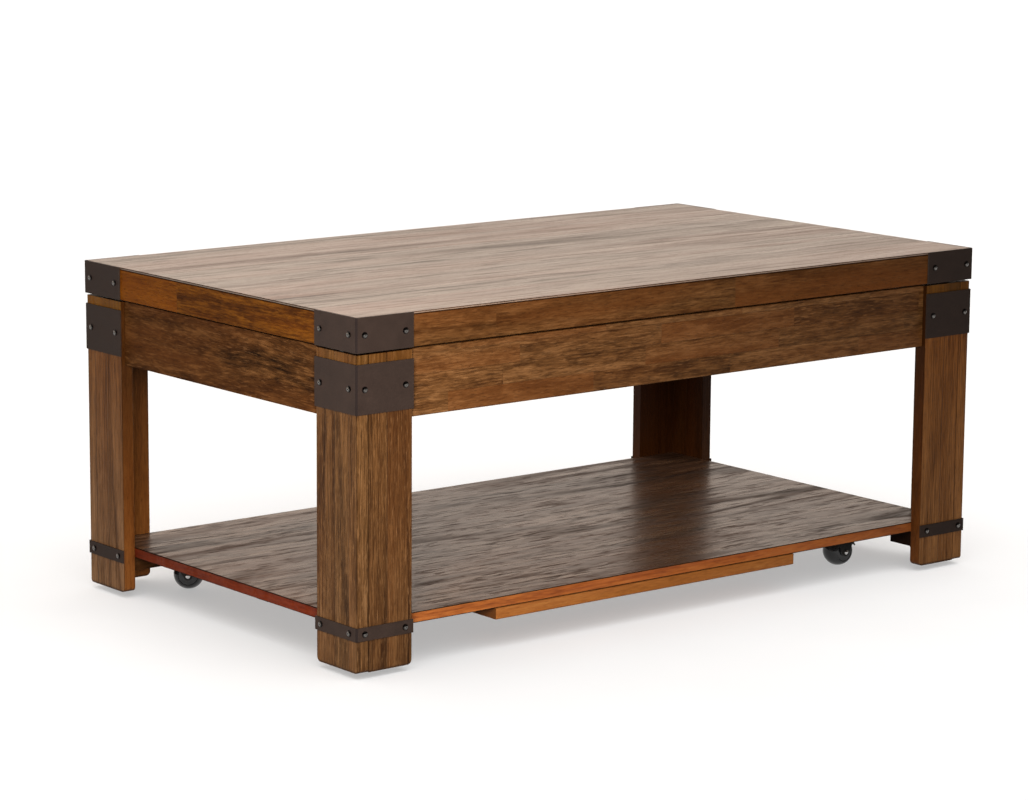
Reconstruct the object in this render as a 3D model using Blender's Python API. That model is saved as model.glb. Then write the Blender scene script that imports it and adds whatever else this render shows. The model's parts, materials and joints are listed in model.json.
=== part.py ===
"""Lift top coffee table, modelled piece by piece in metres.

+X runs along the table, -Y is its front long side and +Z is up. The origin is on the floor, at the
centre of the footprint. The top rises and comes forward on two pairs of parallel arms, and the
table stands on four swivelling ball casters under its shelf.
"""

import math

import bmesh
import bpy
from mathutils import Vector

# Overall sizes
LENGTH = 1.2192
WIDTH = 0.7112
HEIGHT = 0.517
FIT = 0.0003
BOARD = 0.020

# How far a joined body sinks into its piece, and a cutter runs past it
SINK = 0.0005
PAST = 0.002

# Lifting top: a panel whose lip covers a frame of four rims, with a steel angle on each corner
SHEET = 0.0022
RIM_HEIGHT = 0.050
LIP = 0.0035
PANEL_THICK = 0.018
ANGLE_REACH = 0.100
BEND = 0.003

# Legs: an end board and a side board to each corner, above the floor by the casters' height
LEG_GAP = 0.009
LEG_INSET = 0.0006
LEG_WIDTH = 0.0965
TOP_GAP = 0.003
FREE_CORNER = 0.0075
OUTER_CORNER = 0.0045
BAND_LOW = 0.3796
BAND_HIGH = 0.4508
STRAP_LOW = 0.056
STRAP_HIGH = 0.0755

# Aprons and the floor of the compartment under the top
APRON_RECESS = 0.006
APRON_BOTTOM = 0.366
FLOOR_LOW = 0.372
FLOOR_HIGH = 0.381

# Lower shelf and the timber under it
SHELF_LOW = 0.062
SHELF_HIGH = 0.078
BLOCK_LOW = 0.0355
BLOCK_X = 0.519
BLOCK_Y = 0.278
FRONT_BATTEN_LEFT = -0.3415
FRONT_BATTEN_RIGHT = 0.253
FRONT_BATTEN_DEPTH = 0.090
FRONT_BATTEN_LOW = 0.0447
CENTRE_BATTEN_REACH = 0.525
CENTRE_BATTEN_HALF = 0.015

# Lift mechanism, in the plane of each end apron: angles are measured from +Y towards +Z
ARM_LENGTH = 0.250
ARM_ANGLE = math.radians(8.0)
FRONT_PIVOT = Vector((-0.200, 0.431))
PIVOT_SPACING = 0.070
PIVOT_SLOPE = math.radians(-30.0)
SPRING_RADIUS = 0.090
SPRING_ANCHOR_ANGLE = math.radians(170.0)
ARM_HALF = 0.012
PLATE_HALF = 0.0138
HANGER_SPREAD = 0.060
PIN = 0.004
BORE = 0.0043
HEAD = 0.007
HEAD_THICK = 0.0015
HEAD_GAP = 0.0005
CROSS_BAR_AT = 0.150
CROSS_BAR_RADIUS = 0.008

# Distances from the table's middle to each layer of the mechanism, from the apron inwards
BASE_OUT = 0.5802
BASE_IN = 0.5777
ARM_OUT = 0.5765
ARM_IN = 0.5715
HANGER_OUT = 0.5705
HANGER_IN = 0.5680
STUD_IN = 0.5540
RAIL_IN = 0.5400
SPRING_MIDDLE = 0.5615
RAIL_FRONT = -0.110
RAIL_BACK = 0.250
RAIL_LIP = 0.0165
RAIL_PLATE = 0.0025

# Springs
COIL_RADIUS = 0.005
WIRE = 0.0011
COIL_TURNS = 12
COIL_SIDES = 8
HOOK_RADIUS = 0.0052
HOOK_STEPS = 10
HOOK_NECK = 2.2

# Casters
CASTER_X = 0.468
CASTER_Y = 0.237
CASTER_TRAIL = 0.027
BALL = 0.024
BALL_HALF = 0.0165
CHEEK_IN = 0.0178
CHEEK_OUT = 0.0200
AXLE = 0.0030
AXLE_BORE = 0.0033
AXLE_END = 0.0228
AXLE_HEAD = 0.0038
HOOD_IN = 0.0252
HOOD_OUT = 0.0270
HOOD_CROWN = 0.55
HOOD_SWEEP = 130.0
SWIVEL_LOW = 0.0525
SWIVEL_HIGH = 0.0575
SWIVEL_RADIUS = 0.0165
SWIVEL_GAP = 0.0012
CASTER_PLATE_HALF = 0.022
CASTER_PLATE_CORNER = 0.005
WEB_HALF = 0.008
WEB_AHEAD = 0.004
CASTER_HEADINGS = {
    "front_left": math.radians(165.0),
    "front_right": math.radians(180.0),
    "back_left": math.radians(141.7),
    "back_right": math.radians(150.0),
}

# Facets
ROUND_SIDES = 16
HEAD_SIDES = 24
WHEEL_SIDES = 20
HOOD_SIDES = 10
CORNER_STEPS = 4
INNER_CORNER_STEPS = 3
BALL_STEPS = 6
HOOD_STEPS = 4
CHEEK_ARC = (42, 138)
CHEEK_STEPS = 6
SMOOTH_BELOW = math.radians(35)
DIGITS = 7

# Derived places
METAL_X = LENGTH / 2
METAL_Y = WIDTH / 2
RIM_X = METAL_X - SHEET - FIT
RIM_Y = METAL_Y - SHEET - FIT
RIM_LOW = HEIGHT - RIM_HEIGHT
LEG_X = RIM_X - LEG_INSET
LEG_Y = RIM_Y - LEG_INSET
LEG_TOP = RIM_LOW - TOP_GAP
BAND_X = LEG_X + SHEET + FIT
BAND_Y = LEG_Y + SHEET + FIT
LEG_IN_X = LEG_X - BOARD
LEG_IN_Y = LEG_Y - BOARD
PANEL_LOW = HEIGHT - PANEL_THICK
CORNERS = {
    "front_left": (-1, -1),
    "front_right": (1, -1),
    "back_left": (-1, 1),
    "back_right": (1, 1),
}
SIDES = {"left": -1, "right": 1}

# Finishes: linear colour, roughness, metallic
FINISHES = {
    "top_wood": ((0.20, 0.125, 0.085), 0.35, 0.0),
    "edge_wood": ((0.24, 0.090, 0.032), 0.40, 0.0),
    "leg_wood": ((0.17, 0.085, 0.040), 0.45, 0.0),
    "shelf_wood": ((0.13, 0.080, 0.055), 0.40, 0.0),
    "hidden_wood": ((0.30, 0.19, 0.10), 0.60, 0.0),
    "dark_steel": ((0.035, 0.030, 0.028), 0.50, 0.8),
    "mechanism_steel": ((0.05, 0.05, 0.055), 0.45, 0.7),
    "spring_steel": ((0.55, 0.55, 0.56), 0.35, 1.0),
    "black_plastic": ((0.012, 0.012, 0.012), 0.35, 0.0),
    "caster_steel": ((0.06, 0.055, 0.05), 0.40, 0.9),
}


def clear_scene():
    """Removes whatever objects the file starts with."""
    for old in list(bpy.data.objects):
        bpy.data.objects.remove(old, do_unlink=True)


def finish_material(name, finish):
    """A Principled material of one finish, for the piece called name."""
    colour, roughness, metallic = FINISHES[finish]
    material = bpy.data.materials.new(name + "_" + finish)
    material.use_nodes = True
    shader = material.node_tree.nodes["Principled BSDF"]
    shader.inputs["Base Color"].default_value = (*colour, 1.0)
    shader.inputs["Roughness"].default_value = roughness
    shader.inputs["Metallic"].default_value = metallic
    return material


def place(name, data, finish, location=(0, 0, 0), parent=None):
    """Links a new object, at a location measured from its parent."""
    piece = bpy.data.objects.new(name, data)
    bpy.context.scene.collection.objects.link(piece)
    data.materials.append(finish_material(name, finish))
    piece.location = location
    piece.parent = parent
    return piece


def pivot(name, location, parent=None, turn=0.0):
    """An empty on a joint's axis, which carries what turns there."""
    empty = bpy.data.objects.new(name, None)
    bpy.context.scene.collection.objects.link(empty)
    empty.location = location
    empty.rotation_euler = (0, 0, turn)
    empty.parent = parent
    return empty


def mesh_from(bm, name, smooth=False):
    """Turns a bmesh into a mesh whose faces all look outwards."""
    bmesh.ops.recalc_face_normals(bm, faces=bm.faces)
    mesh = bpy.data.meshes.new(name)
    bm.to_mesh(mesh)
    bm.free()
    if smooth:
        mesh.shade_smooth()
        mesh.set_sharp_from_angle(angle=SMOOTH_BELOW)
    return mesh


def from_pivot(location, parent):
    """A place in the table's frame, as its distance from a pivot that isn't turned."""
    return Vector(location) - parent.location if parent else Vector(location)


def block(name, low, high, finish, parent=None):
    """A square-edged piece between two corners of the table's frame."""
    low = Vector(low)
    high = Vector(high)
    bm = bmesh.new()
    bmesh.ops.create_cube(bm, size=1.0)
    bmesh.ops.scale(bm, vec=high - low, verts=bm.verts)
    return place(name, mesh_from(bm, name), finish, from_pivot((low + high) / 2, parent), parent)


def extrusion(outline, axis, start, end):
    """A prism: the outline lies across the axis, in the other two coordinates' order."""
    order = {"X": (2, 0, 1), "Y": (0, 2, 1), "Z": (0, 1, 2)}[axis]
    bm = bmesh.new()
    verts = []
    for first, second in outline:
        flat = (first, second, start)
        verts.append(bm.verts.new([flat[i] for i in order]))
    face = bm.faces.new(verts)
    grown = bmesh.ops.extrude_face_region(bm, geom=[face])
    moved = [item for item in grown["geom"] if isinstance(item, bmesh.types.BMVert)]
    step = Vector([(0, 0, end - start)[i] for i in order])
    bmesh.ops.translate(bm, vec=step, verts=moved)
    return bm


def arc(centre, radius, start, end, steps):
    """Points on an arc, both ends included, with angles in degrees."""
    points = []
    for step in range(steps + 1):
        angle = math.radians(start + (end - start) * step / steps)
        points.append((centre[0] + radius * math.cos(angle), centre[1] + radius * math.sin(angle)))
    return points


def ring(centre, radius, steps=ROUND_SIDES):
    """A closed circle of points."""
    return arc(centre, radius, 0, 360, steps)[:-1]


def rounded_square(centre, half, radius):
    """A square outline with round corners."""
    points = []
    for turn, (side_x, side_y) in zip((0, 90, 180, 270), ((1, 1), (-1, 1), (-1, -1), (1, -1))):
        middle = (centre[0] + side_x * (half - radius), centre[1] + side_y * (half - radius))
        points += arc(middle, radius, turn, turn + 90, CORNER_STEPS)
    return points


def hull(points):
    """The convex outline round some points, by Andrew's monotone chain."""
    ordered = sorted(set(points))

    def chain(run):
        line = []
        for x, y in run:
            while len(line) > 1:
                (ax, ay), (bx, by) = line[-2:]
                if (bx - ax) * (y - ay) - (by - ay) * (x - ax) > 1e-12:
                    break
                line.pop()
            line.append((x, y))
        return line[:-1]

    return chain(ordered) + chain(ordered[::-1])


def strap_outline(centres, radius):
    """A flat link's outline: round ends on some centres, joined by straight sides."""
    points = []
    for centre in centres:
        points += ring(centre, radius)
    return hull([(round(x, DIGITS), round(y, DIGITS)) for x, y in points])


def tool(piece, bm, operation, name):
    """Joins a hidden body to a piece, or cuts it out, in the piece's own coordinates."""
    helper = bpy.data.objects.new(name, mesh_from(bm, name))
    bpy.context.scene.collection.objects.link(helper)
    helper.location = piece.location
    helper.parent = piece.parent
    helper.hide_render = True
    helper.display_type = "WIRE"
    boolean = piece.modifiers.new(name, "BOOLEAN")
    boolean.operation = operation
    boolean.solver = "EXACT"
    boolean.object = helper


def join(piece, bm, name):
    """Unites a hidden body with a piece."""
    tool(piece, bm, "UNION", piece.name + "_" + name)


def cut(piece, bm, name):
    """Cuts a hidden body out of a piece."""
    tool(piece, bm, "DIFFERENCE", piece.name + "_" + name)


def mirror_outline(outline, sign_x, sign_y):
    """The outline flipped to a corner's own quarter of the table."""
    return [(sign_x * x, sign_y * y) for x, y in outline]


def corner_angle(name, corner, outer_x, outer_y, low, high, parent=None):
    """A steel angle bent round one corner of the table."""
    inner_bend = BEND - SHEET
    centre = (outer_x - BEND, outer_y - BEND)
    outline = [(outer_x - ANGLE_REACH, outer_y)]
    outline += arc(centre, BEND, 90, 0, CORNER_STEPS)
    outline += [(outer_x, outer_y - ANGLE_REACH), (outer_x - SHEET, outer_y - ANGLE_REACH)]
    outline += arc(centre, inner_bend, 0, 90, INNER_CORNER_STEPS)
    outline += [(outer_x - ANGLE_REACH, outer_y - SHEET)]
    bm = extrusion(mirror_outline(outline, *corner), "Z", low, high)
    place(name, mesh_from(bm, name), "dark_steel", from_pivot((0, 0, 0), parent), parent)


def make_top(axis):
    """The panel with its lip, the four rims under the lip, and the corner angles."""
    bm = bmesh.new()
    bmesh.ops.create_cube(bm, size=1.0)
    bmesh.ops.scale(bm, vec=(2 * RIM_X, 2 * RIM_Y, LIP), verts=bm.verts)
    underside = min(bm.faces, key=lambda face: face.calc_center_median().z)
    bmesh.ops.inset_region(bm, faces=[underside], thickness=BOARD + FIT, use_even_offset=True)
    grown = bmesh.ops.extrude_face_region(bm, geom=[underside])
    moved = [item for item in grown["geom"] if isinstance(item, bmesh.types.BMVert)]
    bmesh.ops.translate(bm, vec=(0, 0, LIP - PANEL_THICK), verts=moved)
    bmesh.ops.delete(bm, geom=[underside], context="FACES_ONLY")
    panel = mesh_from(bm, "top_panel")
    place("top_panel", panel, "top_wood", from_pivot((0, 0, HEIGHT - LIP / 2), axis), axis)

    rim_top = HEIGHT - LIP - FIT
    for name, side in (("front", -1), ("back", 1)):
        faces = sorted((side * RIM_Y, side * (RIM_Y - BOARD)))
        low = (-RIM_X, faces[0], RIM_LOW)
        block("top_rim_" + name, low, (RIM_X, faces[1], rim_top), "edge_wood", axis)
    rim_end = RIM_Y - BOARD - FIT
    for name, side in SIDES.items():
        faces = sorted((side * RIM_X, side * (RIM_X - BOARD)))
        low = (faces[0], -rim_end, RIM_LOW)
        block("top_rim_" + name, low, (faces[1], rim_end, rim_top), "edge_wood", axis)
    for name, corner in CORNERS.items():
        corner_angle("top_angle_" + name, corner, METAL_X, METAL_Y, RIM_LOW, HEIGHT, axis)


def leg_outline(inner, outer, outer_corner):
    """A leg board seen square on, with its two foot corners rounded."""
    free = FREE_CORNER
    outline = [(inner, LEG_TOP), (inner, LEG_GAP + free)]
    outline += arc((inner + free, LEG_GAP + free), free, 180, 270, CORNER_STEPS)
    if outer_corner:
        centre = (outer - outer_corner, LEG_GAP + outer_corner)
        outline += arc(centre, outer_corner, 270, 360, INNER_CORNER_STEPS)
    else:
        outline.append((outer, LEG_GAP))
    outline.append((outer, LEG_TOP))
    return outline


def make_legs():
    """Two boards, a wide steel band and a narrow strap to each leg."""
    for name, (side_x, side_y) in CORNERS.items():
        outline = leg_outline(LEG_Y - LEG_WIDTH, LEG_Y, OUTER_CORNER)
        outline = [(side_y * y, z) for y, z in outline]
        bm = extrusion(outline, "X", side_x * LEG_IN_X, side_x * LEG_X)
        place("leg_end_board_" + name, mesh_from(bm, name), "leg_wood")

        outline = leg_outline(LEG_X - LEG_WIDTH, LEG_IN_X - FIT, 0)
        outline = [(side_x * x, z) for x, z in outline]
        bm = extrusion(outline, "Y", side_y * LEG_IN_Y, side_y * LEG_Y)
        place("leg_side_board_" + name, mesh_from(bm, name), "leg_wood")

        corner = (side_x, side_y)
        corner_angle("leg_band_" + name, corner, BAND_X, BAND_Y, BAND_LOW, BAND_HIGH)
        corner_angle("leg_strap_" + name, corner, BAND_X, BAND_Y, STRAP_LOW, STRAP_HIGH)


def make_aprons():
    """The four aprons between the legs, and the compartment floor that they hold."""
    front = LEG_Y - APRON_RECESS
    reach = LEG_X - LEG_WIDTH - FIT
    for name, side in (("front", -1), ("back", 1)):
        faces = sorted((side * front, side * (front - BOARD)))
        block("apron_" + name, (-reach, faces[0], APRON_BOTTOM), (reach, faces[1], LEG_TOP), "edge_wood")
    end = LEG_X - APRON_RECESS
    half = LEG_Y - LEG_WIDTH - FIT
    for name, side in SIDES.items():
        faces = sorted((side * end, side * (end - BOARD)))
        block("apron_" + name, (faces[0], -half, APRON_BOTTOM), (faces[1], half, LEG_TOP), "edge_wood")
    floor_x = end - BOARD - FIT
    floor_y = front - BOARD - FIT
    block("compartment_floor", (-floor_x, -floor_y, FLOOR_LOW), (floor_x, floor_y, FLOOR_HIGH), "hidden_wood")


def make_shelf():
    """The lower shelf between the legs, and the blocks and battens that stiffen it."""
    edge_x = LEG_IN_X - FIT
    edge_y = LEG_IN_Y - FIT
    under = SHELF_LOW - FIT
    block("lower_shelf", (-edge_x, -edge_y, SHELF_LOW), (edge_x, edge_y, SHELF_HIGH), "shelf_wood")
    for name, (side_x, side_y) in CORNERS.items():
        across = sorted((side_x * BLOCK_X, side_x * edge_x))
        along = sorted((side_y * BLOCK_Y, side_y * edge_y))
        low = (across[0], along[0], BLOCK_LOW)
        block("shelf_block_" + name, low, (across[1], along[1], under), "leg_wood")
    low = (FRONT_BATTEN_LEFT, -edge_y, FRONT_BATTEN_LOW)
    high = (FRONT_BATTEN_RIGHT, FRONT_BATTEN_DEPTH - edge_y, under)
    block("shelf_front_batten", low, high, "edge_wood")
    low = (-CENTRE_BATTEN_REACH, -CENTRE_BATTEN_HALF, BLOCK_LOW)
    block("shelf_centre_batten", low, (CENTRE_BATTEN_REACH, CENTRE_BATTEN_HALF, under), "leg_wood")


def polar(distance, angle):
    """A step in the mechanism's side view, as (y, z)."""
    return Vector((distance * math.cos(angle), distance * math.sin(angle)))


REAR_PIVOT = FRONT_PIVOT + polar(PIVOT_SPACING, PIVOT_SLOPE)
ARM_STEP = polar(ARM_LENGTH, ARM_ANGLE)
TOP_FRONT_PIVOT = FRONT_PIVOT + ARM_STEP
TOP_REAR_PIVOT = REAR_PIVOT + ARM_STEP
SPRING_ANCHOR = FRONT_PIVOT + polar(SPRING_RADIUS, SPRING_ANCHOR_ANGLE)
SPRING_STUD = FRONT_PIVOT + polar(SPRING_RADIUS, ARM_ANGLE)


def plate(outline, side, outer, inner):
    """A flat steel plate of the mechanism, between two distances from the table's middle."""
    return extrusion(outline, "X", side * outer, side * inner)


def add_pin(piece, centre, side, start, end, head_end, name):
    """A pivot pin out of a plate, with a head past the arm that turns on it."""
    join(piece, plate(ring(centre, PIN), side, start, head_end), name)
    join(piece, plate(ring(centre, HEAD), side, end, head_end), name + "_head")


def make_base_plate(name, side):
    """The plate on the end apron, with both lower pins and the spring's anchor."""
    outline = strap_outline([FRONT_PIVOT, REAR_PIVOT, SPRING_ANCHOR], PLATE_HALF)
    bm = plate(outline, side, BASE_OUT, BASE_IN)
    piece = place("lift_base_plate_" + name, mesh_from(bm, name), "mechanism_steel")
    inside = BASE_IN + SINK
    head = ARM_IN - HEAD_GAP
    for label, centre in (("front", FRONT_PIVOT), ("rear", REAR_PIVOT)):
        add_pin(piece, centre, side, inside, head, head - HEAD_THICK, label)
    join(piece, plate(ring(SPRING_ANCHOR, PIN), side, inside, STUD_IN), "anchor")


def make_arm(name, side, axis, centre, stud):
    """One lift arm, bored for its two pins."""
    end = polar(ARM_LENGTH, ARM_ANGLE)
    bm = plate(strap_outline([(0, 0), end], ARM_HALF), side, ARM_OUT, ARM_IN)
    piece = place(name, mesh_from(bm, name), "mechanism_steel", (0, 0, 0), axis)
    for label, hole in (("lower", Vector((0, 0))), ("upper", end)):
        cut(piece, plate(ring(hole, BORE), side, ARM_OUT + PAST, ARM_IN - PAST), label)
    if stud:
        place_stud = SPRING_STUD - centre
        join(piece, plate(ring(place_stud, PIN), side, ARM_IN + SINK, STUD_IN), "stud")


def make_top_rail(name, side, axis):
    """The angle under the top and the hanger plate that the arms lift it by."""
    shift = -TOP_FRONT_PIVOT
    under = PANEL_LOW - FIT
    top = under + shift.y
    rear = TOP_REAR_PIVOT + shift
    points = ring((0, 0), PLATE_HALF) + ring(rear, PLATE_HALF)
    points += [(-HANGER_SPREAD, top), (rear.x + HANGER_SPREAD, top)]
    hanger = hull([(round(x, DIGITS), round(y, DIGITS)) for x, y in points])
    bm = plate(hanger, side, HANGER_OUT, HANGER_IN)
    piece = place("lift_top_rail_" + name, mesh_from(bm, name), "mechanism_steel", (0, 0, 0), axis)
    front = RAIL_FRONT + shift.x
    back = RAIL_BACK + shift.x
    lip = [(front, top), (back, top), (back, top - RAIL_LIP), (front, top - RAIL_LIP)]
    flange = [(front, top), (back, top), (back, top - RAIL_PLATE), (front, top - RAIL_PLATE)]
    join(piece, plate(lip, side, HANGER_OUT, HANGER_IN), "lip")
    join(piece, plate(flange, side, HANGER_OUT, RAIL_IN), "flange")
    inside = HANGER_OUT - SINK
    head = ARM_OUT + HEAD_GAP
    for label, centre in (("front", Vector((0, 0))), ("rear", rear)):
        add_pin(piece, centre, side, inside, head, head + HEAD_THICK, label)


def spring_points(length):
    """A hook round the anchor, a helix along +Y, and a hook round the stud."""
    first_hook = arc((0, 0), HOOK_RADIUS, -90, -270, HOOK_STEPS)
    last_hook = arc((length, 0), HOOK_RADIUS, 90, -90, HOOK_STEPS)
    start = HOOK_NECK * HOOK_RADIUS
    steps = COIL_TURNS * COIL_SIDES
    pitch = (length - 2 * start) / steps
    points = [(0, y, z) for y, z in first_hook]
    for step in range(steps + 1):
        angle = math.tau * step / COIL_SIDES + math.pi / 2
        y = start + pitch * step
        points.append((COIL_RADIUS * math.cos(angle), y, COIL_RADIUS * math.sin(angle)))
    return points + [(0, y, z) for y, z in last_hook]


def make_spring(name, side, axis):
    """An extension spring, hooked over the base plate's anchor and the front arm's stud."""
    line = SPRING_STUD - SPRING_ANCHOR
    curve = bpy.data.curves.new("lift_spring_" + name, "CURVE")
    curve.dimensions = "3D"
    curve.bevel_depth = WIRE
    curve.bevel_resolution = 0
    curve.use_fill_caps = True
    points = spring_points(line.length)
    spline = curve.splines.new("POLY")
    spline.points.add(len(points) - 1)
    for point, place_at in zip(spline.points, points):
        point.co = (*place_at, 1.0)
    piece = place("lift_spring_" + name, curve, "spring_steel", (side * SPRING_MIDDLE, 0, 0), axis)
    piece.rotation_euler = (math.atan2(line.y, line.x), 0, 0)


def make_mechanism(top_axis):
    """Both sides of the lift, and the bar that ties their front arms together."""
    front_axis = pivot("front_arm_axis", (0, *FRONT_PIVOT))
    rear_axis = pivot("rear_arm_axis", (0, *REAR_PIVOT))
    spring_axis = pivot("spring_axis", (0, *SPRING_ANCHOR))
    for name, side in SIDES.items():
        make_base_plate(name, side)
        make_arm("lift_front_arm_" + name, side, front_axis, FRONT_PIVOT, True)
        make_arm("lift_rear_arm_" + name, side, rear_axis, REAR_PIVOT, False)
        make_top_rail(name, side, top_axis)
        make_spring(name, side, spring_axis)
    bar_end = ARM_IN - FIT
    bm = extrusion(ring(polar(CROSS_BAR_AT, ARM_ANGLE), CROSS_BAR_RADIUS), "X", -bar_end, bar_end)
    place("lift_cross_bar", mesh_from(bm, "lift_cross_bar", True), "mechanism_steel", (0, 0, 0), front_axis)


def turned(profile, steps, sweep=360.0, start=0.0):
    """Turns a profile of (along the axle, radius) points about the local Y axis."""
    bm = bmesh.new()
    angle = math.radians(start)
    turn = (math.sin(angle), math.cos(angle))
    verts = [bm.verts.new((radius * turn[0], along, radius * turn[1])) for along, radius in profile]
    whole = sweep == 360.0
    edges = [bm.edges.new(pair) for pair in zip(verts, verts[1:])]
    if not whole:
        edges.append(bm.edges.new((verts[-1], verts[0])))
    bmesh.ops.spin(
        bm,
        geom=verts + edges,
        cent=(0, 0, 0),
        axis=(0, 1, 0),
        angle=math.radians(sweep),
        steps=steps,
        use_merge=whole,
    )
    bmesh.ops.remove_doubles(bm, verts=bm.verts, dist=1e-6)
    if not whole:
        bmesh.ops.holes_fill(bm, edges=bm.edges, sides=0)
    return bm


def make_wheel(name, axle):
    """A ball wheel with its axle and the axle's two round heads, as one body that stands on a flat."""
    half_flat = 180.0 / WHEEL_SIDES
    size = BALL / math.cos(math.radians(half_flat))
    profile = [(-AXLE_END, 0), (-AXLE_END, AXLE_HEAD), (-CHEEK_OUT - FIT, AXLE_HEAD)]
    profile += [(-CHEEK_OUT - FIT, AXLE), (-BALL_HALF, AXLE)]
    for step in range(BALL_STEPS + 1):
        along = BALL_HALF * (2 * step / BALL_STEPS - 1)
        profile.append((along, math.sqrt(size**2 - along**2)))
    profile += [(BALL_HALF, AXLE), (CHEEK_OUT + FIT, AXLE), (CHEEK_OUT + FIT, AXLE_HEAD)]
    profile += [(AXLE_END, AXLE_HEAD), (AXLE_END, 0)]
    mesh = mesh_from(turned(profile, WHEEL_SIDES, start=half_flat), name, True)
    place("caster_wheel_" + name, mesh, "black_plastic", (0, 0, 0), axle)


def make_yoke(name, swivel):
    """The hood over the ball, its two cheeks and the round head, on the swivel's axis."""
    shell = []
    for step in range(HOOD_STEPS + 1):
        along = CHEEK_OUT * (2 * step / HOOD_STEPS - 1)
        shell.append((along, math.sqrt(HOOD_OUT**2 - along**2 * HOOD_CROWN)))
    for step in range(HOOD_STEPS + 1):
        along = CHEEK_OUT * (1 - 2 * step / HOOD_STEPS)
        shell.append((along, math.sqrt(HOOD_IN**2 - along**2 * HOOD_CROWN)))
    bm = turned(shell, HOOD_SIDES, HOOD_SWEEP, -HOOD_SWEEP / 2)
    at_axle = (CASTER_TRAIL, 0, BALL)
    piece = place("caster_yoke_" + name, mesh_from(bm, name, True), "caster_steel", at_axle, swivel)
    edge = math.sqrt(HOOD_OUT**2 - CHEEK_OUT**2 * HOOD_CROWN) - SINK
    outline = ring((0, 0), HEAD) + arc((0, 0), edge, *CHEEK_ARC, CHEEK_STEPS)
    cheek = hull([(round(x, DIGITS), round(z, DIGITS)) for x, z in outline])
    for label, side in (("one", -1), ("other", 1)):
        cheek_plate = extrusion(cheek, "Y", side * CHEEK_IN, side * (CHEEK_OUT - SINK))
        join(piece, cheek_plate, "cheek_" + label)
    head = ring((-CASTER_TRAIL, 0), SWIVEL_RADIUS, HEAD_SIDES)
    rise = -BALL
    join(piece, extrusion(head, "Z", SWIVEL_LOW + rise, SWIVEL_HIGH + rise), "head")
    reach = CASTER_TRAIL - HEAD - HEAD_THICK
    web = [(-reach, WEB_HALF), (WEB_AHEAD, WEB_HALF), (WEB_AHEAD, -WEB_HALF), (-reach, -WEB_HALF)]
    join(piece, extrusion(web, "Z", HOOD_OUT - PAST, SWIVEL_HIGH + rise - SINK), "web")
    cut(piece, extrusion(ring((0, 0), AXLE_BORE), "Y", -HOOD_OUT, HOOD_OUT), "axle_bore")
    bore = ring((-CASTER_TRAIL, 0), BORE)
    cut(piece, extrusion(bore, "Z", SWIVEL_LOW + rise - PAST, SWIVEL_HIGH + rise + PAST), "pin_bore")


def make_caster_plate(name, centre):
    """The plate screwed up under the shelf, with the kingpin that the yoke hangs from."""
    top = SHELF_LOW - FIT
    outline = rounded_square(centre, CASTER_PLATE_HALF, CASTER_PLATE_CORNER)
    bm = extrusion(outline, "Z", SWIVEL_HIGH + SWIVEL_GAP, top)
    piece = place("caster_plate_" + name, mesh_from(bm, name), "caster_steel")
    pin_low = SWIVEL_LOW - HEAD_GAP - HEAD_THICK
    join(piece, extrusion(ring(centre, PIN), "Z", pin_low, top - SINK), "kingpin")
    join(piece, extrusion(ring(centre, HEAD), "Z", pin_low, pin_low + HEAD_THICK), "kingpin_head")


def make_casters():
    """Four swivelling ball casters, each with its own heading."""
    for name, (side_x, side_y) in CORNERS.items():
        centre = (side_x * CASTER_X, side_y * CASTER_Y)
        make_caster_plate(name, centre)
        swivel = pivot("caster_swivel_" + name, (*centre, 0), None, CASTER_HEADINGS[name])
        axle = pivot("caster_axle_" + name, (CASTER_TRAIL, 0, BALL), swivel)
        make_yoke(name, swivel)
        make_wheel(name, axle)


def main():
    """Builds the whole table."""
    clear_scene()
    top_axis = pivot("top_axis", (0, *TOP_FRONT_PIVOT))
    make_top(top_axis)
    make_legs()
    make_aprons()
    make_shelf()
    make_mechanism(top_axis)
    make_casters()


main()
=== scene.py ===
import json
import math
import random

import bmesh
import bpy
from mathutils import Matrix, Vector


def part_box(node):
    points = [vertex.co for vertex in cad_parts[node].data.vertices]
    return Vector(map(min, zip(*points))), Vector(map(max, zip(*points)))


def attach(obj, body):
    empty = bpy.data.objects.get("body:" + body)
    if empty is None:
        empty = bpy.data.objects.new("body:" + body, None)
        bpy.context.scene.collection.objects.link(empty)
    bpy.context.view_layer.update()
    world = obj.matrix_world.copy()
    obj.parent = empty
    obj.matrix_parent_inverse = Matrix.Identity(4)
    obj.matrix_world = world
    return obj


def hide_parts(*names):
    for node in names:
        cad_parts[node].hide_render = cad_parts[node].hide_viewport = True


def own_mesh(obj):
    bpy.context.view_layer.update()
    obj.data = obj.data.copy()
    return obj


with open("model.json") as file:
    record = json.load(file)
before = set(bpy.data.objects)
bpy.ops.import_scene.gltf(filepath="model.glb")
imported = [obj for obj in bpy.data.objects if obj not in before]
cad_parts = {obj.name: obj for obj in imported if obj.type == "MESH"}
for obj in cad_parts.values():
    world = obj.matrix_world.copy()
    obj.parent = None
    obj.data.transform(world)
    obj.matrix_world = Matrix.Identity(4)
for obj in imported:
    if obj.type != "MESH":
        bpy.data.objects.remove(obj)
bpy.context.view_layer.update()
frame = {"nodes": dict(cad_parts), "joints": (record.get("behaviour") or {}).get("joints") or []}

RANDOM_SEED = 7
CORNERS = {
    "front_left": (-1, -1),
    "front_right": (1, -1),
    "back_left": (-1, 1),
    "back_right": (1, 1),
}
SIDES = {"left": -1, "right": 1}
AXES = {"X": 0, "Y": 1, "Z": 2}

# Eased edges: how wide each bevel is
WELD = 0.00002
SHARP = 40
EASE_TOP = 0.0010
EASE_APRON = 0.0010
EASE_LEG = 0.0012
EASE_SHELF = 0.0012
EASE_RIM = 0.0008
EASE_BATTEN = 0.0008
EASE_FLOOR = 0.0005
EASE_STEEL = 0.0004
EASE_HARDWARE = 0.0003
EASE_YOKE = 0.0002

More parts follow.
